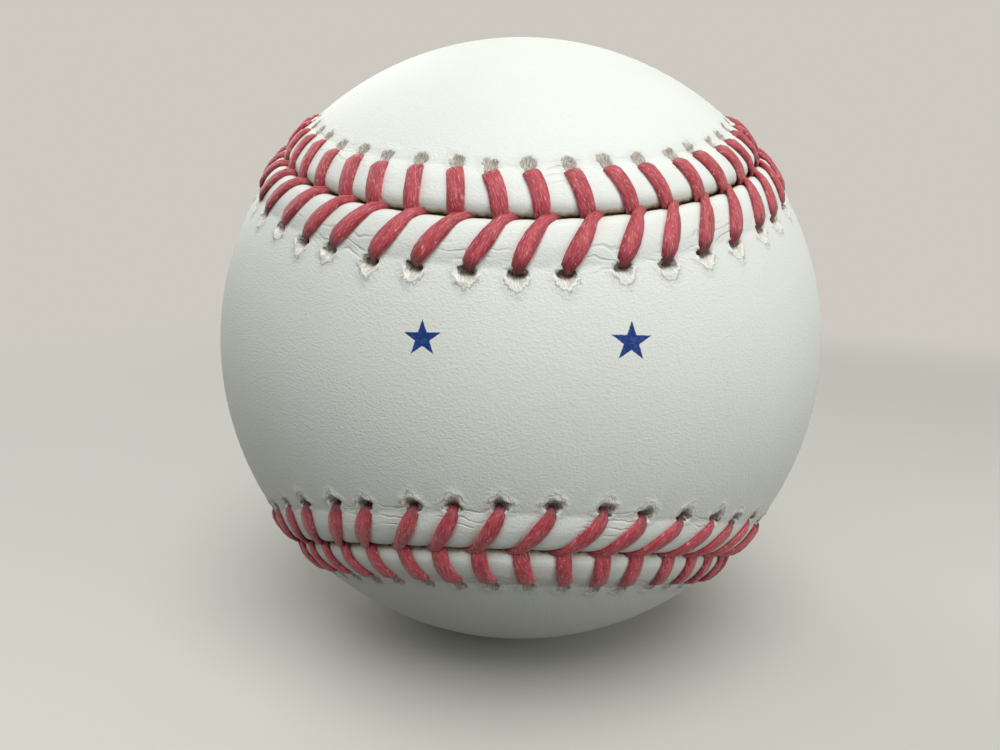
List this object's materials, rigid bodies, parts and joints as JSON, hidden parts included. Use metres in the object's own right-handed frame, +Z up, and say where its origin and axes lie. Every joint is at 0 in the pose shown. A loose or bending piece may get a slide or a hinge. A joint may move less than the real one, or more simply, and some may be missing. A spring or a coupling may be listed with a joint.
{
  "type": "baseball",
  "caption": "Hand-sewn baseball: two figure-eight leather panels with raised red seams over yarn windings and a rubber-cushioned cork centre.",
  "frame": {"origin": "centre of the ball, which is the centre of its bounding box", "axes": "+Z up as in the picture, -Y through the middle of the front panel's narrow neck, +Y through the back panel's neck, X along the front neck"},
  "size_m": [0.074, 0.074, 0.074],
  "materials": {
    "cork": "ground cork bound with rubber, dull",
    "black_rubber": "moulded, dull",
    "red_rubber": "moulded, dull",
    "grey_wool": "tightly wound wool yarn",
    "white_wool": "tightly wound wool yarn",
    "fine_yarn": "fine cotton and polyester yarn",
    "cement": "dried latex adhesive, thin and tacky",
    "white_leather": "white tanned leather with a fine grain and a faint wax sheen",
    "red_thread": "waxed thread, flattened by the sewing"
  },
  "bodies": {
    "root": {"cork_core": "cork", "black_shell_upper": "black_rubber", "black_shell_lower": "black_rubber", "sealing_ring": "red_rubber", "red_shell_upper": "red_rubber", "red_shell_lower": "red_rubber", "wool_winding_first": "grey_wool", "wool_winding_second": "white_wool", "wool_winding_third": "grey_wool", "finishing_winding": "fine_yarn", "cement_coat": "cement", "cover_panel_front": "white_leather", "cover_panel_back": "white_leather", "seam_stitches": "red_thread"}
  },
  "joints": []
}
